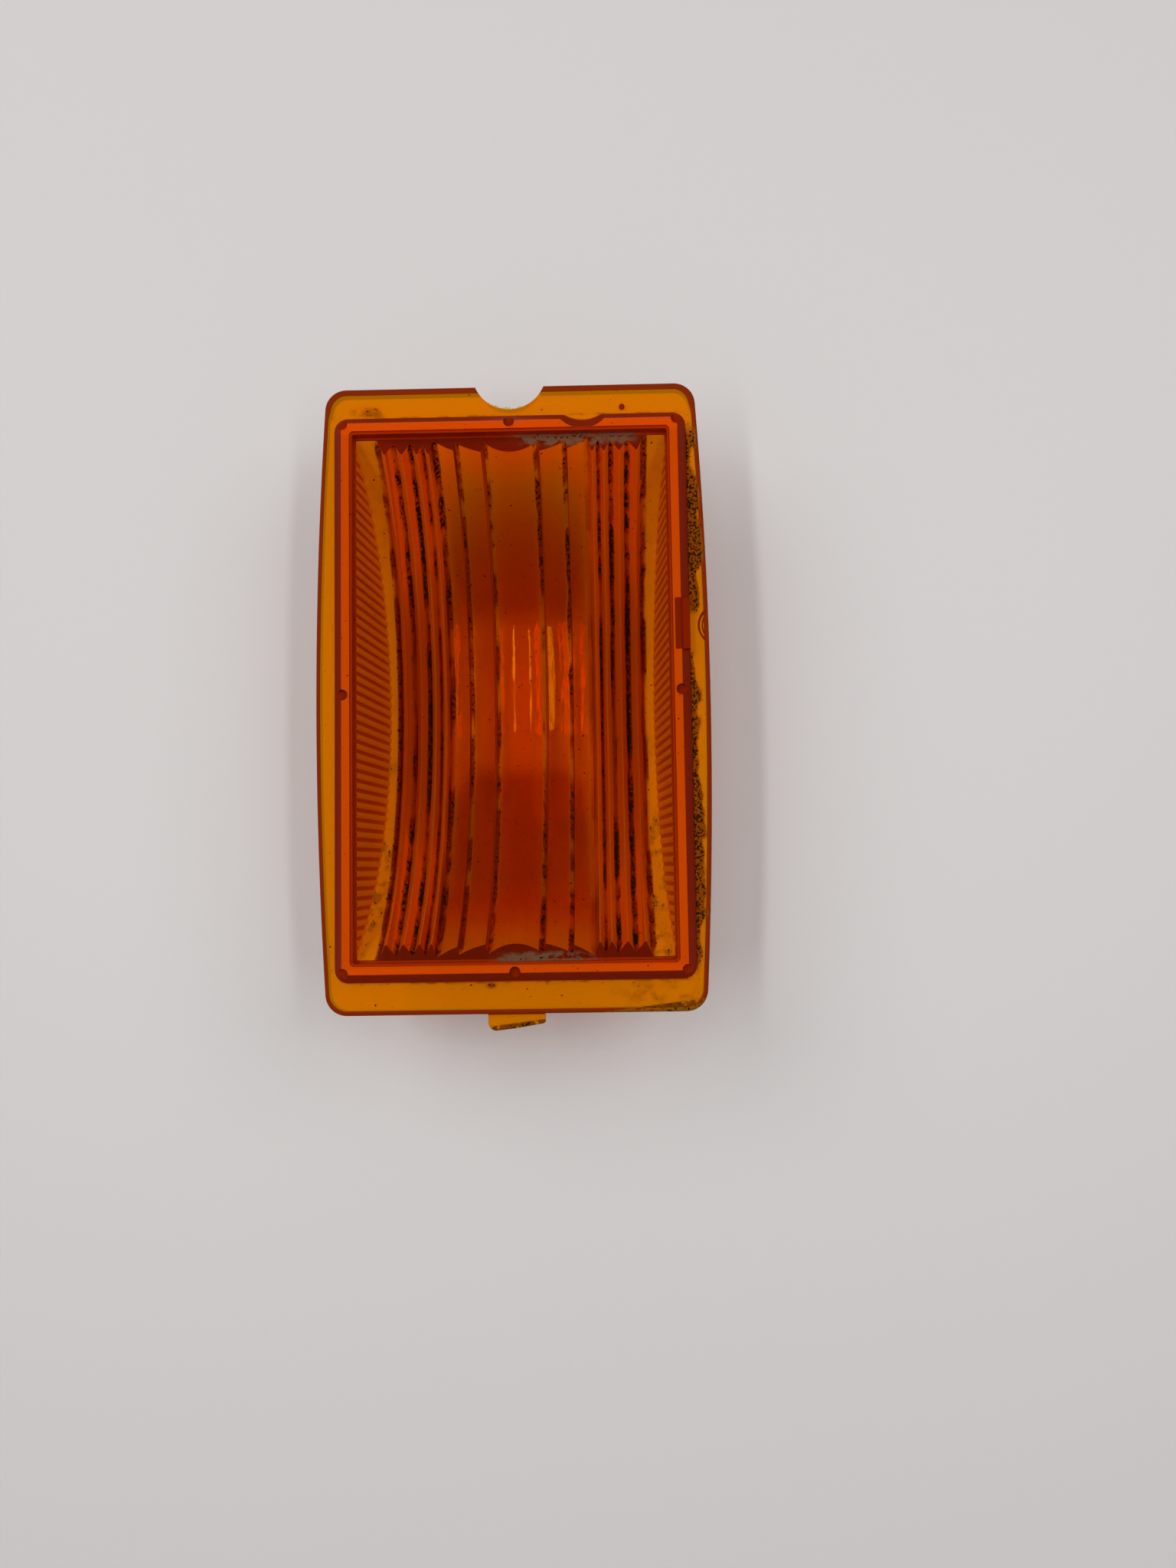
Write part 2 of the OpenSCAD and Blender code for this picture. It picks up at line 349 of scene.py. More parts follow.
def cavity():
    """The hollow below the flange's back: the arch with its ridges, between the fluted side walls."""
    half = ridge_profile()
    profile = [(-x, height) for x, height in half[:0:-1]] + half
    deep = [(FLOOR_RADIUS - height, x) for x, height in profile]
    section = [(CAVITY_CORE_RADIUS, profile[0][0])] + deep + [(CAVITY_CORE_RADIUS, profile[-1][0])]
    hollow = sector("cavity", lambda turn: section, 161)

    flutes = int(CAVITY_HALF_LENGTH / FLUTE_PITCH)
    ys = np.arange(-flutes * FLUTE_PITCH, (flutes + 0.01) * FLUTE_PITCH, FLUTE_PITCH / FLUTE_STEPS)
    wave = FLUTE_DEPTH * (0.5 + 0.5 * np.cos(2 * math.pi * ys / FLUTE_PITCH))
    ends = CAVITY_HALF_LENGTH + 4

    def level(z):
        side_x = CAVITY_HALF_WIDTH - 0.05 - (BACK_Z - z) * LEAN
        right = [(side_x, -ends)] + list(zip(side_x - wave, ys)) + [(side_x, ends)]
        return at_height(right + [(-x, y) for x, y in right[::-1]], z)

    return combine(hollow, [loft("walls", [level(-2), level(BACK_Z + 0.25)])], "INTERSECT")


def mouth():
    """The hollow inside the rib, with the rib's inner top edge rounded."""
    half_x, half_y, corner = CAVITY_HALF_WIDTH, CAVITY_HALF_LENGTH, 0.3
    levels = [(0, BACK_Z)]
    levels += [(RIB_INNER_ROUND - inset, RIB_TOP_Z - RIB_INNER_ROUND + drop)
               for inset, drop in edge_rounding(RIB_INNER_ROUND)[::-1]]
    levels.append((RIB_INNER_ROUND, RIB_TOP_Z + 1))
    return loft("mouth", [
        at_height(round_rectangle(half_x + out, half_y + out, corner + out), z) for out, z in levels
    ])


def hook_tab():
    """A tongue past the flange's plain end, with one round corner and a slanting tip."""
    low, high = TAB_LOW, TAB_HIGH
    reach = FLANGE_LOW[1] - low[1]
    corner = TAB_CORNER
    root_y = FLANGE_LOW[1] + 1.0
    outline = [(low[0], root_y)]
    outline += arc((low[0] + corner, low[1] + corner), corner, math.pi, 1.5 * math.pi, 9)
    outline += [(0, low[1] + 0.14 * reach), (high[0] - 0.2, low[1] + 0.4 * reach),
                (high[0], low[1] + 0.5 * reach), (high[0], root_y)]
    return loft("hook_tab_solid", [at_height(outline, low[2]), at_height(outline, high[2])])


def scoop():
    """A round cut from the rib's outer side, whose wall slopes in."""
    levels = []
    for (radius, depth), z in ((SCOOP_FOOT, BACK_Z + 0.01), (SCOOP_TOP, RIB_TOP_Z + 0.05)):
        levels.append(at_height(circle((SCOOP_X, RIB_HIGH[1] + radius - depth), radius), z))
    return loft("scoop", levels)


def flash():
    """A thin ragged skin of plastic along the bottom of the notch."""
    turn = np.linspace(*FLASH_TURN, 34)
    raggedness = np.random.default_rng(7).uniform(0.15, 1.0, len(turn))
    fade = np.sin(np.linspace(0, math.pi, len(turn))) ** 0.5
    inner = NOTCH_RADIUS - FLASH_DEPTH * raggedness * fade
    outer = np.full(len(turn), NOTCH_RADIUS + 0.2)
    ring = [(r * math.cos(a), NOTCH_Y + r * math.sin(a)) for r, a in zip(inner, turn)]
    ring += [(r * math.cos(a), NOTCH_Y + r * math.sin(a)) for r, a in zip(outer, turn)][::-1]
    return loft("flash", [at_height(ring, BACK_Z - below) for below in FLASH_BELOW])


def moulding():
    """The whole lens: the full shapes joined, then every hollow cut, then what stands in the hollows."""
    gate_low = (RIB_HIGH[0] - GATE_WIDTH, GATE_Y - GATE_LENGTH / 2, BACK_Z - OVERLAP)
    gate_high = (RIB_HIGH[0], GATE_Y + GATE_LENGTH / 2, RIB_TOP_Z - SHALLOW)
    gate = block("gate", gate_low, gate_high)
    body = combine(outer_body(), [flange_plate(), rib_block(), hook_tab(), gate], "UNION")
    cuts = [
        cavity(),
        mouth(),
        cylinder("notch", (0, NOTCH_Y), NOTCH_RADIUS, FRONT_Z - 1, RIB_TOP_Z),
        scoop(),
        cylinder("gate_mark", (GATE_MARK_X, GATE_Y), GATE_MARK_RADIUS, BACK_Z - SHALLOW, RIB_TOP_Z),
    ]
    mark_x = RIB_HIGH[0] - RIB_THICKNESS / 2
    mark_y = RIB_HIGH[1] - RIB_THICKNESS / 2
    for x in (-1, 0, 1):
        for y in (-1, 0, 1):
            if x or y:
                centre = (x * mark_x, y * mark_y)
                cuts.append(cylinder("mark", centre, MARK_RADIUS, RIB_TOP_Z - MARK_DEPTH, RIB_TOP_Z + 1))
    combine(body, cuts, "DIFFERENCE")
    pimple = cylinder("pimple", PIMPLE, PIMPLE_RADIUS, BACK_Z - OVERLAP, BACK_Z + PIMPLE_HEIGHT)
    return combine(body, [flash(), pimple], "UNION")


def to_frame(thing):
    """Millimetres about the flange's middle to metres in the CAD frame."""
    points = np.empty(len(thing.data.vertices) * 3)
    thing.data.vertices.foreach_get("co", points)
    points = (points.reshape(-1, 3) + [0.0, FLANGE_MID_Y, 0.0]) / MM
    thing.data.vertices.foreach_set("co", points.ravel())
    thing.data.update()


def shade(thing, sharp_degrees):
    """Smooth faces with sharp edges, and flat faces that keep their own normals."""
    thing.data.shade_smooth()
    thing.data.set_sharp_from_angle(angle=math.radians(sharp_degrees))
    weighted = thing.modifiers.new("weighted_normals", "WEIGHTED_NORMAL")
    weighted.keep_sharp = True


# ---------------------------------------------------------------- materials

AMBER_LOW = (1.0, 0.92, 0.01, 1)
AMBER_HIGH = (0.96, 0.39, 0.01, 1)
# Painted light: a diffuse orange haze that brightens the flange
FLANGE_LIGHT_ORANGE = (1.0, 0.37, 0.001, 1)
# Painted light: a diffuse orange haze that brightens the side walls
WALL_LIGHT_ORANGE = (1.0, 0.22, 0.001, 1)
# Painted shade: dark red stripes along the valleys of the flutes on the side walls
FLUTE_SHADE_RED = (0.6, 0.05, 0.001, 1)
# Painted light: a diffuse orange haze that brightens the prisms
PRISM_LIGHT_ORANGE = (1.0, 0.27, 0.001, 1)
# Painted shade: a darker red on the prisms' inner faces
PRISM_SHADE_RED = (0.85, 0.1, 0.001, 1)
# Painted light: a diffuse yellow haze that brightens the plain strips
STRIP_LIGHT_YELLOW = (1.0, 0.3, 0.001, 1)
# Painted shade: dark red on the steep risers of the facets
RISER_SHADE_RED = (0.45, 0.05, 0.001, 1)
# Painted light: a diffuse orange haze that lightens the optics' end by the tab
END_LIGHT_ORANGE = (1.0, 0.3, 0.001, 1)
SHADE_AMBER = (0.8, 0.58, 0.01, 1)
# Painted shade: dark brown along the flange's rounded edge
EDGE_SHADE_BROWN = (0.28, 0.025, 0.002, 1)
# Painted shade: dark maroon on the rib's slope and everything on it below its top
SLOPE_SHADE_MAROON = (0.24, 0.012, 0.001, 1)
# Painted shade: dark red on the flat ledges at the cavity's ends
LEDGE_SHADE_RED = (0.2, 0.011, 0.002, 1)
# Painted shade: dark red on the lip up the rib's inner side
LIP_SHADE_RED = (0.45, 0.03, 0.001, 1)
# Painted light: orange on the rib's flat top
TOP_LIGHT_ORANGE = (0.9, 0.1, 0.001, 1)
FILM_RED = (0.28, 0.035, 0.001, 1)
FILM_BROWN = (0.32, 0.1, 0.003, 1)
FLASH_YELLOW = (0.7, 0.68, 0.25, 1)
GRIME_BLACK = (0.02, 0.008, 0.002, 1)
DUST_GREY = (0.24, 0.13, 0.07, 1)

SPECULAR_TINT = (0.7, 0.2, 0.0, 1)
FLOOR_WHITE = (0.72, 0.7, 0.69, 1)
ROOM_WHITE = (1.0, 0.985, 0.98, 1)

# The clear plastic: the colour that its volume takes on, how strongly per metre, and its refraction
PLASTIC_TINT = (0.996, 0.815, 0.0, 1)
PLASTIC_DENSITY = 2000.0
PLASTIC_IOR = 1.52

# The moulding's faint waves, drawn out along the lens like its mould's polish
WAVE_HEIGHT = 0.02
WAVE_WIDTH = 0.5
WAVE_STRETCH = 12.0

# How much grime each groove holds, from the centre lens outwards
GROOVE_GRIME = {
    -1: (0.5, 0.5, 0.65, 0.6, 0.9, 0.85, 0.5),
    1: (0.75, 0.65, 0.2, 0.75, 1.0, 1.0, 0.5),
}


def principled(name):
    material = bpy.data.materials.new(name)
    material.use_nodes = True
    return material, material.node_tree, material.node_tree.nodes["Principled BSDF"]


class Fields:
    """Numbers over the lens's surface as shader sockets. Places are in millimetres about the flange's middle.

    height is how far a place stands above the arch's plain floor. outwards is the normal's part away from
    the centre line. inside is 1 within the outline of the cavity.
    """

    def __init__(self, tree):
        self.tree = tree
        in_metres = tree.nodes.new("ShaderNodeTexCoord").outputs["Object"]
        self.place = self.vector("MULTIPLY", in_metres, (MM, MM, MM))
        split = tree.nodes.new("ShaderNodeSeparateXYZ")
        tree.links.new(self.place, split.inputs["Vector"])
        self.x, self.z = split.outputs["X"], split.outputs["Z"]
        self.y = self.math("SUBTRACT", split.outputs["Y"], FLANGE_MID_Y)
        down = self.math("SUBTRACT", ARCH_Z, self.z)
        squares = self.math("ADD", self.math("POWER", down, 2.0), self.math("POWER", self.y, 2.0))
        self.height = self.math("SUBTRACT", FLOOR_RADIUS, self.math("SQRT", squares))
        normal = tree.nodes.new("ShaderNodeSeparateXYZ")
        tree.links.new(tree.nodes.new("ShaderNodeNewGeometry").outputs["Normal"], normal.inputs["Vector"])
        self.outwards = self.math("MULTIPLY", normal.outputs["X"], self.math("SIGN", self.x))
        self.far_x, self.far_y = self.math("ABSOLUTE", self.x), self.math("ABSOLUTE", self.y)
        self.inside = self.within_cavity(0.0)

    def plug(self, socket, value):
        if isinstance(value, bpy.types.NodeSocket):
            self.tree.links.new(value, socket)
        else:
            socket.default_value = value

    def math(self, operation, first, second=0.0):
        node = self.tree.nodes.new("ShaderNodeMath")
        node.operation = operation
        self.plug(node.inputs[0], first)
        self.plug(node.inputs[1], second)
        return node.outputs[0]

    def vector(self, operation, first, second):
        node = self.tree.nodes.new("ShaderNodeVectorMath")
        node.operation = operation
        self.plug(node.inputs[0], first)
        self.plug(node.inputs[1], second)
        return node.outputs["Value" if operation == "DISTANCE" else "Vector"]

    def ramp(self, value, start, end, low=0.0, high=1.0):
        """low at start, high at end and smooth in between."""
        node = self.tree.nodes.new("ShaderNodeMapRange")
        node.interpolation_type = "SMOOTHSTEP"
        for socket, number in zip(node.inputs, (value, start, end, low, high)):
            self.plug(socket, number)
        return node.outputs[0]

    def times(self, first, *others):
        for other in others:
            first = self.math("MULTIPLY", first, other)
        return first

    def most(self, first, *others):
        for other in others:
            first = self.math("MAXIMUM", first, other)
        return first

    def between(self, value, low, high, soft):
        """1 between low and high, 0 outside, soft at both ends."""
        above = self.ramp(value, low - soft, low + soft)
        return self.times(above, self.ramp(value, high + soft, high - soft))

    def apart(self, value, middle):
        """How far value is from middle."""
        return self.math("ABSOLUTE", self.math("SUBTRACT", value, middle))

    def within_cavity(self, grown):
        """1 within the outline of the cavity, grown by some millimetres."""
        half_x, half_y = CAVITY_HALF_WIDTH + grown, CAVITY_HALF_LENGTH + grown
        within_x = self.ramp(self.far_x, half_x + 0.1, half_x)
        return self.times(within_x, self.ramp(self.far_y, half_y + 0.1, half_y))

    def past_cavity(self, grown):
        """1 past the outline of the cavity, grown by some millimetres."""
        half_x, half_y = CAVITY_HALF_WIDTH + grown, CAVITY_HALF_LENGTH + grown
        past_x = self.ramp(self.far_x, half_x, half_x + 0.1)
        return self.most(past_x, self.ramp(self.far_y, half_y, half_y + 0.1))

    def noise(self, grain, stretch=1.0, detail=2.0):
        """Noise with spots about grain wide, and longer along Y by stretch."""
        node = self.tree.nodes.new("ShaderNodeTexNoise")
        node.inputs["Scale"].default_value = 1.0
        node.inputs["Detail"].default_value = detail
        shrink = (1 / grain, 1 / (grain * stretch), 1 / grain)
        self.plug(node.inputs["Vector"], self.vector("MULTIPLY", self.place, shrink))
        return node.outputs["Fac"]

    def dots(self, spacing, size):
        """1 on round dots about spacing apart; size is their radius, as a share of spacing."""
        node = self.tree.nodes.new("ShaderNodeTexVoronoi")
        node.inputs["Scale"].default_value = 1.0
        shrink = (1 / spacing, 1 / spacing, 1 / spacing)
        self.plug(node.inputs["Vector"], self.vector("MULTIPLY", self.place, shrink))
        return self.ramp(self.math("SUBTRACT", node.outputs["Distance"], size), 0.03, -0.03)

    def mix(self, factor, first, second):
        """Colour from first (factor 0) to second (factor 1)."""
        node = self.tree.nodes.new("ShaderNodeMix")
        node.data_type = "RGBA"
        self.plug(node.inputs[0], factor)
        self.plug(node.inputs[6], first)
        self.plug(node.inputs[7], second)
        return node.outputs[2]


def groove_grime(f):
    """How much grime lies in the low places of the optics, groove by groove."""
    low_place = f.ramp(f.height, 0.95, 0.5)
    inside = f.times(f.ramp(f.height, -1.1, -0.9), f.ramp(f.z, BACK_Z, BACK_Z - 0.1))
    amount = None
    for side, amounts in GROOVE_GRIME.items():
        for groove, most in zip([CENTRE_EDGE, INNER_EDGE, OUTER_EDGE] + PRISM_GROOVES, amounts):
            line = f.between(f.x, side * groove - 0.5, side * groove + 0.5, 0.2)
            line = f.times(line, most)
            amount = line if amount is None else f.most(amount, line)
    patches = f.ramp(f.noise(2.2, 4.5), 0.36, 0.6, 0.25, 1.0)
    return f.times(amount, low_place, inside, patches)


def flange_grime(f):
    """Dirt beside the rib on the right, with a clean gap at the gate, and thinner dirt elsewhere."""
    on_back = f.times(f.ramp(f.z, BACK_Z - 0.1, BACK_Z - 0.02), f.ramp(f.z, BACK_Z + 0.3, BACK_Z + 0.1))
    reach = f.ramp(f.noise(3.5, 1.5, 5.0), 0.3, 0.7, 0.7, 2.2)
    right = f.ramp(f.math("SUBTRACT", f.x, RIB_HIGH[0]), reach, f.math("SUBTRACT", reach, 0.8))
    right = f.times(right, f.ramp(f.x, RIB_HIGH[0] - 0.1, RIB_HIGH[0]), f.between(f.y, -33, 32, 2))
    gap = f.ramp(f.apart(f.y, GATE_Y - 0.8), 1.6, 3.4)
    patchy = f.ramp(f.noise(2.0), 0.35, 0.65)
    top_left = f.times(f.between(f.x, -21.5, -15, 1.5), f.between(f.y, 34, 35.6, 0.7), 0.6, patchy)
    foot = f.times(f.between(f.far_y, 34.1, 34.4, 0.15), f.between(f.x, -20, 21, 1), 0.5, patchy)
    low_spot = f.times(f.between(f.x, -3.4, -2.4, 0.6), f.between(f.y, -34.9, -34.3, 0.4))
    low_corner = f.times(f.between(f.x, 12, 22, 3), f.between(f.y, -37, -34.5, 1.5), 0.5, patchy)
    return f.times(on_back, f.most(f.times(right, gap), top_left, foot, low_spot, low_corner))


def tab_wear(f):
    """The worn tip of the tab, which slants with it."""
    tip = f.ramp(f.math("SUBTRACT", f.y, f.times(f.x, 0.12)), -39.0, -39.4)
    return f.times(tip, f.ramp(f.noise(0.8), 0.3, 0.55))


def strip_grime(f):
    """Thin brown patches on the plain strips, more of them near the tab's end."""
    strip = f.between(f.far_x, PRISM_GROOVES[-1] + 0.3, CAVITY_HALF_WIDTH - 0.5, 0.3)
    on_floor = f.between(f.height, -0.3, 0.3, 0.1)
    patchy = f.ramp(f.noise(1.6, 2.0, 5.0), 0.45, 0.65)
    return f.times(strip, f.inside, on_floor, f.ramp(f.y, 8, -26, 0.3, 0.8), patchy)


def residue(f):
    """Grey-white dust left on the two ledges between the optics and the rib."""
    ledge = f.between(f.z, BACK_Z - 0.25, BACK_Z + 0.2, 0.1)
    top = f.times(f.between(f.y, 30.8, 32.4, 0.9), f.between(f.x, 1.5, 14.5, 2.5))
    bottom = f.times(f.between(f.y, -32.4, -31.0, 0.6), f.between(f.x, -1, 8, 3))
    return f.times(ledge, f.most(top, bottom), f.ramp(f.noise(1.1, 0.8, 4.0), 0.32, 0.62))


def flange_edge_shade(f):
    """Painted shade along the narrow edge all round the flange; the tab is past it."""
    along = f.math("POWER", f.math("DIVIDE", f.far_y, FLANGE_HIGH[1]), 2.0)
    bow = f.times(along, FLANGE_HIGH[0] - FLANGE_END_HALF_WIDTH)
    side = f.most(f.math("ADD", f.math("ADD", f.far_x, bow), FLANGE_CORNER - FLANGE_HIGH[0]), 0.0)
    end = f.most(f.math("ADD", f.far_y, FLANGE_CORNER - FLANGE_HIGH[1]), 0.0)
    squares = f.math("ADD", f.math("POWER", side, 2.0), f.math("POWER", end, 2.0))
    outline = f.math("SUBTRACT", f.math("SQRT", squares), FLANGE_CORNER)
    width = f.ramp(f.y, 34, 36, 0.55, 0.85)
    band = f.ramp(f.math("ADD", outline, width), -0.06, 0.06)
    return f.times(band, f.ramp(outline, 0.16, 0.04), f.ramp(f.z, FRONT_Z - 0.2, FRONT_Z - 0.1))


def rib_light_and_shade(f):
    """(painted light on the rib's flat top, painted shade on everything on it that lies lower: its slope,
    ejector marks, scoop and gate)
    """
    on_rib = f.past_cavity(0.15)
    top = f.ramp(f.z, RIB_TOP_Z - 0.1, RIB_TOP_Z - 0.04)
    low = f.between(f.z, BACK_Z + 0.2, RIB_TOP_Z - 0.08, 0.04)
    return f.times(on_rib, top), f.times(on_rib, low)


def ledges(f):
    """(painted shade on the flat ledges at the two ends of the cavity, painted shade on the lip all round it
    up the rib's inner side)
    """
    level = f.between(f.z, BACK_Z - 0.05, BACK_Z + 0.05, 0.02)
    end = f.times(level, f.inside, f.between(f.far_y, 29, CAVITY_HALF_LENGTH, 0.1))
    ring = f.times(f.past_cavity(-0.3), f.within_cavity(0.3))
    return end, f.times(ring, f.between(f.z, BACK_Z - 0.2, RIB_TOP_Z - 0.06, 0.04))


def gate_shade_and_arcs(f):
    """Painted shade on the broken gate across the rib's right side, and two dark lines along the rim of the
    mark it left at the flange's edge.
    """
    along = f.between(f.y, GATE_Y - GATE_LENGTH / 2, GATE_Y + GATE_LENGTH / 2, 0.1)
    across = f.between(f.x, RIB_HIGH[0] - 1.75, RIB_HIGH[0] + 0.3, 0.1)
    gate_block_shade = f.times(along, across, f.ramp(f.z, BACK_Z + 0.1, BACK_Z + 0.3))
    from_mark = f.vector("DISTANCE", f.place, (GATE_MARK_X, GATE_Y + FLANGE_MID_Y, BACK_Z))
    arcs = f.most(f.between(from_mark, GATE_MARK_RADIUS - 0.08, GATE_MARK_RADIUS + 0.12, 0.08),
                  f.between(from_mark, GATE_MARK_RADIUS - 0.45, GATE_MARK_RADIUS - 0.35, 0.08))
    return f.most(gate_block_shade, f.times(arcs, f.ramp(f.z, BACK_Z - 0.4, BACK_Z - 0.3)))


def in_notch(f):
    """The thin flash that stands inside the notch."""
    flat_place = f.vector("MULTIPLY", f.place, (1, 1, 0))
    from_middle = f.vector("DISTANCE", flat_place, (0, NOTCH_Y + FLANGE_MID_Y, 0))
    return f.ramp(from_middle, NOTCH_RADIUS - 0.01, NOTCH_RADIUS - 0.04)


def painted_light_and_shade(f):
    """Painted light and shade that follow the moulding's parts: diffuse hazes that brighten them, and darker
    tints for their shade.

    They are (light on the flange, (light on the walls, painted shade in the flutes' valleys), (light on the
    prisms, painted shade on their inner faces), light on the plain strips, painted shade of the dim zones,
    light on the end by the tab).
    """
    below = f.most(f.inside, f.ramp(f.z, FRONT_Z, FRONT_Z - 0.4))
    last_groove = PRISM_GROOVES[-1]
    on_floor = f.ramp(f.height, 0.5, 0.3)
    side = f.times(below, f.ramp(f.far_x, last_groove, last_groove + 0.4))
    prisms = f.times(below, f.between(f.far_x, OUTER_EDGE, last_groove, 1))
    middle = f.times(below, f.ramp(f.far_x, OUTER_EDGE, OUTER_EDGE - 4))
    # Painted shade: two dim bands across the middle optics, one each side of its centre
    dim = f.between(f.apart(f.y, 2.5), 13, 24, 6)
    # Painted light: the optics' end by the tab
    end = f.times(f.inside, f.ramp(f.far_x, OUTER_EDGE + 1, OUTER_EDGE), f.ramp(f.y, -24, -32))
    # Painted shade: the prisms' inner faces, which face the centre line
    shaded_inner_faces = f.times(prisms, f.ramp(f.outwards, -0.1, -0.3), f.between(f.height, 0.2, 1.7, 0.1))
    # Painted shade: stripes that darken the valleys of the wall flutes
    wave = f.math("COSINE", f.times(f.y, 2 * math.pi / FLUTE_PITCH))
    on_wall = f.times(f.ramp(f.height, 0.4, 0.8), f.ramp(f.z, BACK_Z, BACK_Z - 0.3))
    flutes = f.times(side, on_wall, f.ramp(wave, 0.2, -0.9))
    flange = f.math("SUBTRACT", 1.0, below)
    return flange, (side, flutes), (prisms, shaded_inner_faces), f.times(side, on_floor), f.times(middle, dim), end


def amber():
    """Clear amber, a little darker towards the flange, with specks and films of dirt that lie on it, and with
    painted light and shade: diffuse hazes that brighten its parts and dark tints where it shows shade.
    """
    material, tree, shader = principled("amber_plastic")
    f = Fields(tree)
    specks = f.noise(0.36, 1.4, 4.0)
    fine_specks = f.noise(0.27, 1.2, 3.0)
    groove, flange, strip = groove_grime(f), flange_grime(f), strip_grime(f)
    tab, dust = tab_wear(f), residue(f)
    films = f.most(f.times(flange, 0.5), f.times(strip, 0.3), tab)
    black = f.most(
        f.ramp(f.math("ADD", specks, f.times(groove, 0.33)), 0.71, 0.75),
        f.ramp(f.math("ADD", specks, f.times(f.most(strip, tab, dust), 0.2)), 0.74, 0.78),
        f.ramp(f.math("ADD", fine_specks, f.times(flange, 0.22)), 0.73, 0.77),
        f.dots(2.4, 0.035),
    )
    flange_painted_light, (wall_painted_light, flutes), (prism_painted_light, prism_painted_shade), strip_painted_light, dim_zone, end_painted_light = painted_light_and_shade(f)
    # Painted shade on the steep risers that face the centre line
    riser_shade = f.times(f.inside, f.ramp(f.outwards, -0.6, -0.8), f.ramp(f.far_x, OUTER_EDGE, INNER_EDGE + 0.5))
    rib_top_light, rib_low_shade = rib_light_and_shade(f)
    ledge, lip = ledges(f)
    # (how much of it there is, how well it covers, its colour), from the lowest layer to the highest
    layers = [
        # painted shade: a tint that darkens the dim zones
        (dim_zone, 0.0, SHADE_AMBER),
        # painted light at the end by the tab
        (end_painted_light, 0.2, END_LIGHT_ORANGE),
        # painted light: haze that brightens the prisms
        (prism_painted_light, 0.24, PRISM_LIGHT_ORANGE),
        # painted shade on the prisms' inner faces
        (f.times(prism_painted_shade, 0.28), 0.4, PRISM_SHADE_RED),
        # painted shade on the risers
        (riser_shade, 0.5, RISER_SHADE_RED),
        # painted light: haze that brightens the side walls
        (wall_painted_light, 0.65, WALL_LIGHT_ORANGE),
        # painted shade in the valleys of the wall flutes
        (f.times(flutes, 0.6), 0.8, FLUTE_SHADE_RED),
        # painted light: haze that brightens the plain strips
        (strip_painted_light, 0.42, STRIP_LIGHT_YELLOW),
        # painted light: haze that brightens the flange
        (flange_painted_light, 0.34, FLANGE_LIGHT_ORANGE),
        # painted light on the rib's top
        (rib_top_light, 0.55, TOP_LIGHT_ORANGE),
        # painted shade on the rib below its top
        (rib_low_shade, 0.8, SLOPE_SHADE_MAROON),
        # painted shade on the gate, and dark lines along its mark's rim
        (gate_shade_and_arcs(f), 0.7, SLOPE_SHADE_MAROON),
        # painted shade on the ledges
        (ledge, 0.5, LEDGE_SHADE_RED),
        # painted shade on the lip
        (lip, 0.6, LIP_SHADE_RED),
        # painted shade along the flange's edge
        (flange_edge_shade(f), 0.8, EDGE_SHADE_BROWN),
        (in_notch(f), 0.5, FLASH_YELLOW),
        (groove, 0.4, FILM_RED),
        (films, 0.4, FILM_BROWN),
        (dust, 0.6, DUST_GREY),
        (black, 0.97, GRIME_BLACK),
    ]
    colour = f.mix(f.ramp(f.z, 2, 15), AMBER_LOW, AMBER_HIGH)
    cover = 0.0
    for amount, opacity, layer_colour in layers:
        colour = f.mix(f.ramp(amount, 0.0, 0.4), colour, layer_colour)
        cover = f.most(f.times(amount, opacity), cover)
    f.plug(shader.inputs["Base Color"], colour)
    f.plug(shader.inputs["Transmission Weight"], f.math("SUBTRACT", 1.0, cover))
    f.plug(shader.inputs["Roughness"], f.ramp(cover, 0.3, 0.8, 0.04, 0.5))
    f.plug(shader.inputs["Specular IOR Level"], f.ramp(cover, 0.2, 0.7, 0.5, 0.15))
    shader.inputs["Specular Tint"].default_value = SPECULAR_TINT
    shader.inputs["IOR"].default_value = PLASTIC_IOR

    waves = tree.nodes.new("ShaderNodeBump")
    waves.inputs["Distance"].default_value = WAVE_HEIGHT / MM
    on_optics = f.ramp(f.far_x, PRISM_GROOVES[-1], OUTER_EDGE)
    f.plug(waves.inputs["Height"], f.times(f.noise(WAVE_WIDTH, WAVE_STRETCH, 2.0), on_optics))
    tree.links.new(waves.outputs["Normal"], shader.inputs["Normal"])

    depth = tree.nodes.new("ShaderNodeVolumeAbsorption")
    depth.inputs["Color"].default_value = PLASTIC_TINT
    depth.inputs["Density"].default_value = PLASTIC_DENSITY
    output = tree.nodes["Material Output"]
    tree.links.new(depth.outputs["Volume"], output.inputs["Volume"])
    return material


def pale_sheet():
    """The plain floor's material."""
    material, _, shader = principled("pale_floor")
    shader.inputs["Base Color"].default_value = FLOOR_WHITE
    shader.inputs["Roughness"].default_value = 0.5
    return material


# ---------------------------------------------------------------- camera, lights and floor

# The photo's viewpoint: it is taken by hand from just above the open back, a little off its middle
CAMERA_LENS = 27
CAMERA_SENSOR = 36
CAMERA_PLACE = (0.01076, -0.02099 + FLANGE_MID_Y / MM, 0.15852)
CAMERA_TURN = (4.077, 0.845, -0.92)

FLOOR_HALF_WIDTH = 1.5
LAMP_DISTANCE = 0.6

# (name, degrees from straight up across the lens, and along it, size, power, whether the gloss shows it).
# The two narrow ones make the streaks on the optics. The broad ones stay out of the gloss, because
# their reflections would whiten the amber.
LAMPS = [
    ("left_streak_lamp", -23, -3, (0.04, 0.38), 0.65, True),
    ("right_streak_lamp", 22, -3, (0.04, 0.38), 0.5, True),
    ("overhead_lamp", 0, 10, (0.25, 0.4), 0.35, False),
    ("left_lamp", -38, 26, (0.35, 0.35), 0.9, False),
    ("right_lamp", 38, 18, (0.35, 0.35), 0.68, False),
]


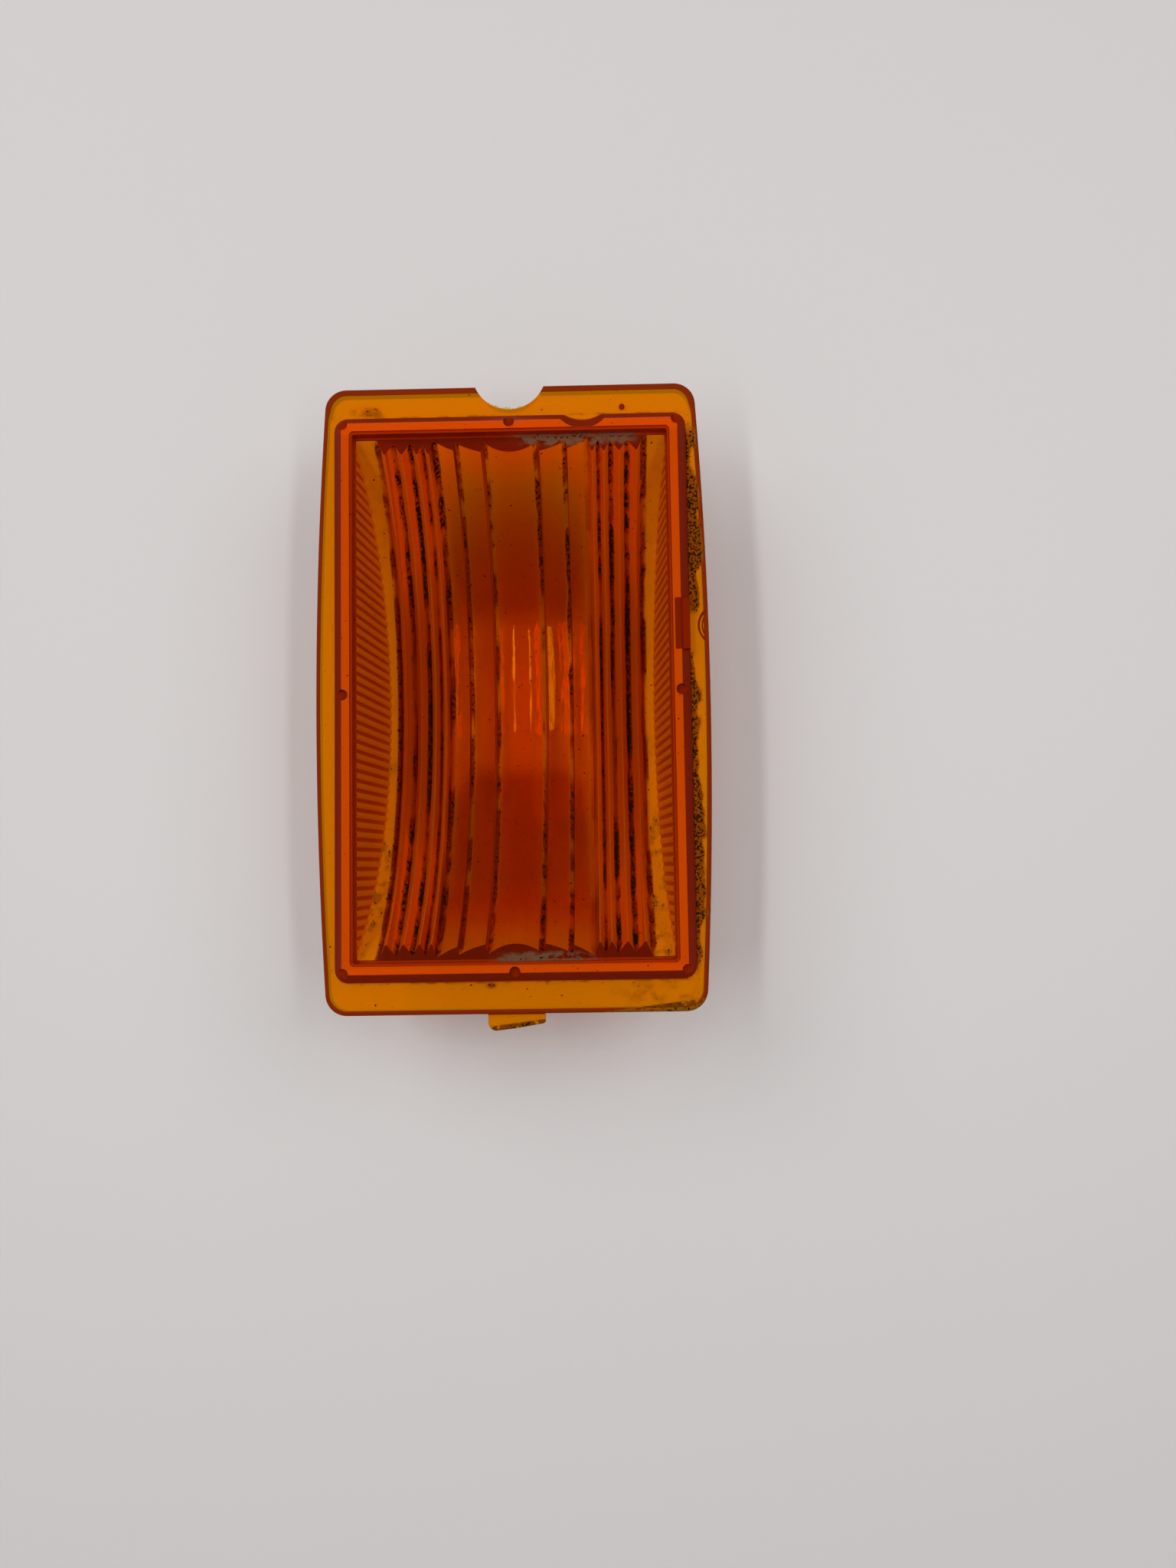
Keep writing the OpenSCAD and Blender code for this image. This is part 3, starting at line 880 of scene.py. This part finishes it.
def make_camera():
    camera = bpy.data.objects.new("camera", bpy.data.cameras.new("camera"))
    camera.data.sensor_width = CAMERA_SENSOR
    camera.data.lens = CAMERA_LENS
    camera.data.clip_start = 0.001
    camera.location = CAMERA_PLACE
    camera.rotation_euler = [math.radians(degrees) for degrees in CAMERA_TURN]
    bpy.context.scene.collection.objects.link(camera)
    bpy.context.scene.camera = camera


def make_lamp(name, across_degrees, along_degrees, size, power, in_gloss):
    """A soft rectangular lamp that faces the lens."""
    lamp = bpy.data.lights.new(name, "AREA")
    lamp.shape = "RECTANGLE"
    lamp.size, lamp.size_y = size
    lamp.energy = power
    thing = bpy.data.objects.new(name, lamp)
    across, along = math.radians(across_degrees), math.radians(along_degrees)
    thing.rotation_euler = (-along, across, 0)
    thing.location = thing.rotation_euler.to_matrix() @ Vector((0, 0, LAMP_DISTANCE))
    thing.visible_glossy = in_gloss
    bpy.context.scene.collection.objects.link(thing)


def make_world(overhead, horizon):
    """A pale room, with its brightness overhead and at the horizon."""
    world = bpy.data.worlds.new("studio")
    bpy.context.scene.world = world
    world.use_nodes = True
    nodes, link = world.node_tree.nodes, world.node_tree.links.new
    split = nodes.new("ShaderNodeSeparateXYZ")
    link(nodes.new("ShaderNodeTexCoord").outputs["Generated"], split.inputs["Vector"])
    height = nodes.new("ShaderNodeMapRange")
    height.inputs["To Min"].default_value = horizon
    height.inputs["To Max"].default_value = overhead
    link(split.outputs["Z"], height.inputs["Value"])
    background = nodes["Background"]
    background.inputs["Color"].default_value = ROOM_WHITE
    link(height.outputs["Result"], background.inputs["Strength"])
    world.cycles_visibility.glossy = False


def make_floor():
    half = FLOOR_HALF_WIDTH
    corners = [(-half, -half, 0), (half, -half, 0), (half, half, 0), (-half, half, 0)]
    floor = mesh_object("floor", corners, [(0, 1, 2, 3)])
    floor.data.materials.append(pale_sheet())


# ---------------------------------------------------------------- the scene

lens = moulding()
lens.name = "amber_moulding"
to_frame(lens)
shade(lens, sharp_degrees=28)
lens.data.materials.clear()
lens.data.materials.append(amber())
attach(lens, "root")
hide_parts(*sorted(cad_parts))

make_camera()
bpy.context.scene.view_settings.view_transform = "Standard"
make_world(overhead=0.28, horizon=0.13)
for lamp in LAMPS:
    make_lamp(*lamp)
make_floor()
